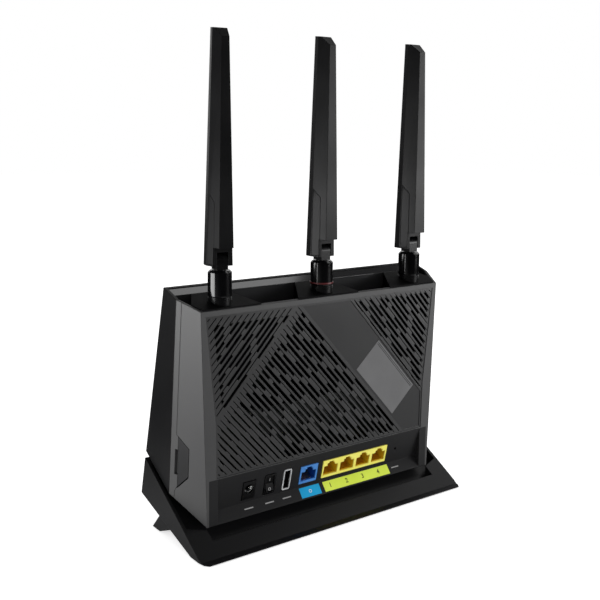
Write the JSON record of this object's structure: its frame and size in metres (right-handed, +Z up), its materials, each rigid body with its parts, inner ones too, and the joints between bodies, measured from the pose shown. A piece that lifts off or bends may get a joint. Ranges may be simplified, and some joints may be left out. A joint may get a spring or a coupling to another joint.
{
  "type": "wireless router",
  "caption": "Upright faceted wireless router on a wedge stand, with slotted rear grille, port row and three hinged paddle antennas.",
  "frame": {"origin": "centre of the footprint's box, on the surface that the rubber feet stand on", "axes": "+Z up, +Y towards the port side, +X towards the side wall with the card door"},
  "size_m": [0.211, 0.0804, 0.3083],
  "materials": {
    "aluminium": "extruded",
    "antenna_plastic": "fine satin black",
    "black_plastic": "matt black",
    "blue_label": "printed film",
    "blue_plastic": "blue moulding",
    "board": "solder mask",
    "clear_guide": "frosted light guide",
    "deck": "piano gloss",
    "green_label": "printed film",
    "grey_label": "blank film",
    "grille": "matt",
    "lead": "jacket",
    "red_ring": "satin",
    "rubber": "matt",
    "shell_frame": "satin grey",
    "shell_front": "fine satin",
    "shell_rear": "fine matt grey",
    "steel": "bright stamped",
    "yellow_plastic": "pale yellow moulding"
  },
  "bodies": {
    "housing": {"front_cover": "shell_front", "light_guide": "clear_guide", "mid_frame": "shell_frame", "rear_cover": "shell_rear", "vent_grille": "grille", "top_deck": "deck", "antenna_seats": "black_plastic", "sim_socket": "steel", "port_board": "board", "lan_port_block": "yellow_plastic", "wan_port": "blue_plastic", "usb_port": "steel", "usb_tongue": "black_plastic", "dc_jack": "black_plastic", "dc_jack_pin": "steel", "power_switch_housing": "black_plastic", "wan_label": "blue_label", "lan_label": "green_label", "rating_label": "grey_label", "main_board": "board", "heat_sink": "aluminium", "shield_cans": "steel", "modem_module": "board", "board_screws": "steel", "coax_leads": "lead", "stand_base": "black_plastic", "stand_screws": "steel", "rubber_feet": "rubber", "antenna_ring": "red_ring", "antenna_left_jack": "black_plastic", "antenna_left_collar": "antenna_plastic", "antenna_middle_jack": "black_plastic", "antenna_middle_collar": "antenna_plastic", "antenna_right_jack": "black_plastic", "antenna_right_collar": "antenna_plastic"},
    "antenna_left_base": {"antenna_left_knuckle": "antenna_plastic", "antenna_left_pin": "steel"},
    "antenna_left_paddle": {"antenna_left_blade": "antenna_plastic", "antenna_left_panel": "antenna_plastic"},
    "antenna_middle_base": {"antenna_middle_knuckle": "antenna_plastic", "antenna_middle_pin": "steel"},
    "antenna_middle_paddle": {"antenna_middle_blade": "antenna_plastic", "antenna_middle_panel": "antenna_plastic"},
    "antenna_right_base": {"antenna_right_knuckle": "antenna_plastic", "antenna_right_pin": "steel"},
    "antenna_right_paddle": {"antenna_right_blade": "antenna_plastic", "antenna_right_panel": "antenna_plastic"},
    "power_rocker": {"power_rocker": "black_plastic"},
    "reset_button": {"reset_button": "black_plastic"},
    "pairing_button": {"pairing_button": "shell_rear"},
    "sim_door": {"sim_door": "shell_rear"}
  },
  "joints": [
    {"name": "antenna_left_swivel", "type": "hinge", "parent": "housing", "child": "antenna_left_base", "pos_m": [0.077, 0.00951, 0.167], "axis": [0, 0, 1], "range_deg": [-170, 170]},
    {"name": "antenna_left_tilt", "type": "hinge", "parent": "antenna_left_base", "child": "antenna_left_paddle", "pos_m": [0.077, 0.00951, 0.1732], "axis": [-0.9877, 0.1564, 0], "range_deg": [0, 90]},
    {"name": "antenna_middle_swivel", "type": "hinge", "parent": "housing", "child": "antenna_middle_base", "pos_m": [0, 0.00951, 0.167], "axis": [0, 0, 1], "range_deg": [-170, 170]},
    {"name": "antenna_middle_tilt", "type": "hinge", "parent": "antenna_middle_base", "child": "antenna_middle_paddle", "pos_m": [0, 0.00951, 0.1732], "axis": [-1, 0, 0], "range_deg": [0, 90]},
    {"name": "antenna_right_swivel", "type": "hinge", "parent": "housing", "child": "antenna_right_base", "pos_m": [-0.077, 0.00951, 0.167], "axis": [0, 0, 1], "range_deg": [-170, 170]},
    {"name": "antenna_right_tilt", "type": "hinge", "parent": "antenna_right_base", "child": "antenna_right_paddle", "pos_m": [-0.077, 0.00951, 0.1732], "axis": [-1, 0, 0], "range_deg": [0, 90]},
    {"name": "power_rock", "type": "hinge", "parent": "housing", "child": "power_rocker", "pos_m": [0.0438, 0.0126, 0.02927], "axis": [1, 0, 0], "range_deg": [-16, 0]},
    {"name": "reset_press", "type": "slide", "parent": "housing", "child": "reset_button", "axis": [0, -0.9759, 0.2181], "range_m": [0, 0.001], "stiffness_N_per_m": 150, "springref_m": -0.0004},
    {"name": "pairing_press", "type": "slide", "parent": "housing", "child": "pairing_button", "axis": [0.9234, -0.3825, 0.0309], "range_m": [0, 0.001], "stiffness_N_per_m": 150, "springref_m": -0.0004},
    {"name": "sim_door_swing", "type": "hinge", "parent": "housing", "child": "sim_door", "pos_m": [0.0971, 0.00676, 0.05], "axis": [0, 0.0805, 0.9968], "range_deg": [0, 85]}
  ]
}
